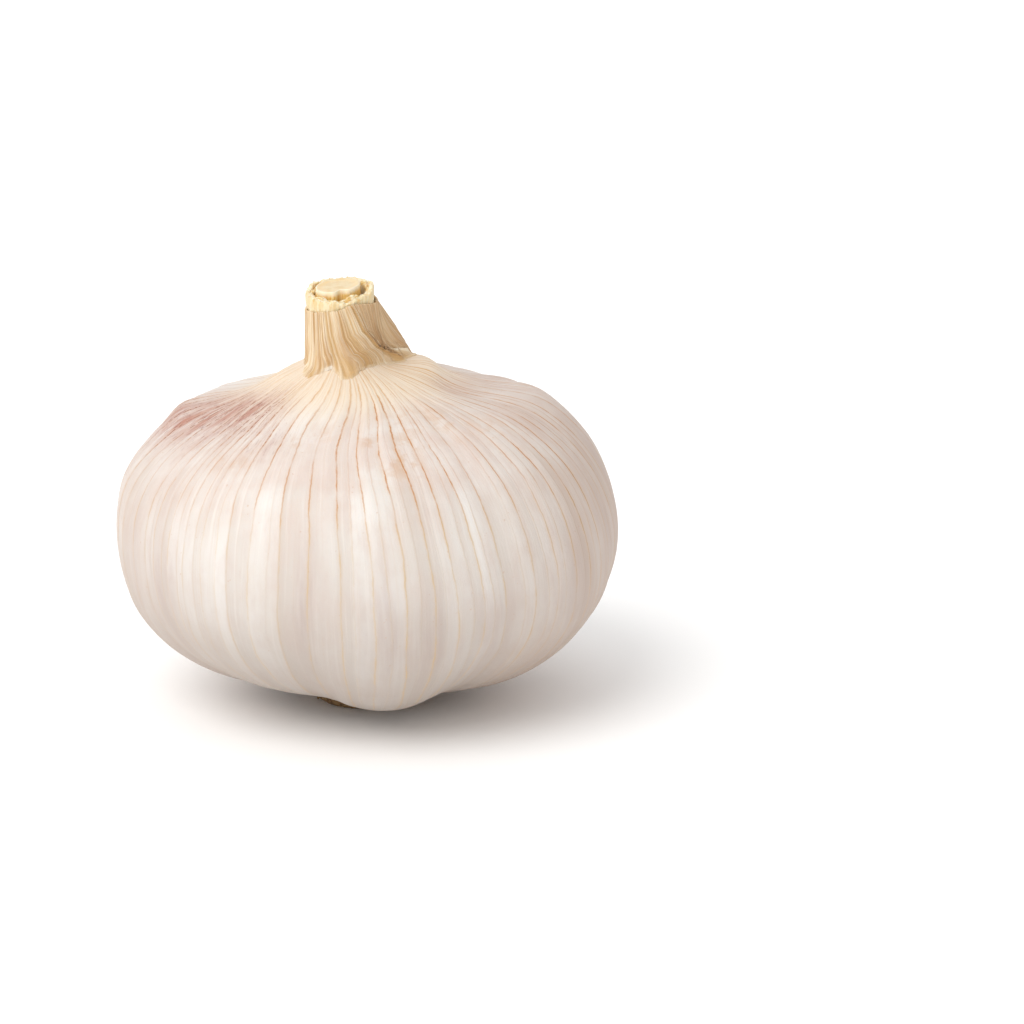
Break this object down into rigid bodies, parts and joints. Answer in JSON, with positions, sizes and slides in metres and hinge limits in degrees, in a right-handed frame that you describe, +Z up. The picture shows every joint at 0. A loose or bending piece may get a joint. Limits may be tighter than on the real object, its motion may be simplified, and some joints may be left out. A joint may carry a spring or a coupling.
{
  "type": "garlic bulb",
  "caption": "Whole garlic bulb: lobed papery body, cut fibrous neck with torn leaf sheaths, and a trimmed root plate that it stands on.",
  "frame": {"origin": "middle of the flat underside of the root plate, where the bulb stands", "axes": "+Z up through the neck, -Y towards the front as pictured, +X to the right of that view"},
  "size_m": [0.0554, 0.0552, 0.0478],
  "materials": {
    "bulb_skin": "dry papery skin, cream white with fine tan and purple veins, satin",
    "cut_stalk": "moist cut stalk, cream face and yellow side, satin",
    "inner_sheath": "torn dry leaf sheath, pale cream, matt",
    "leaf_sheath": "dry fibrous leaf sheath, straw with tan streaks, matt",
    "root_cork": "dry corky root plate, tan brown, matt"
  },
  "bodies": {
    "root": {"bulb_body": "bulb_skin", "scape": "cut_stalk", "inner_sheath": "inner_sheath", "front_sheath": "leaf_sheath", "rear_sheath": "leaf_sheath", "root_plate": "root_cork"}
  },
  "joints": []
}
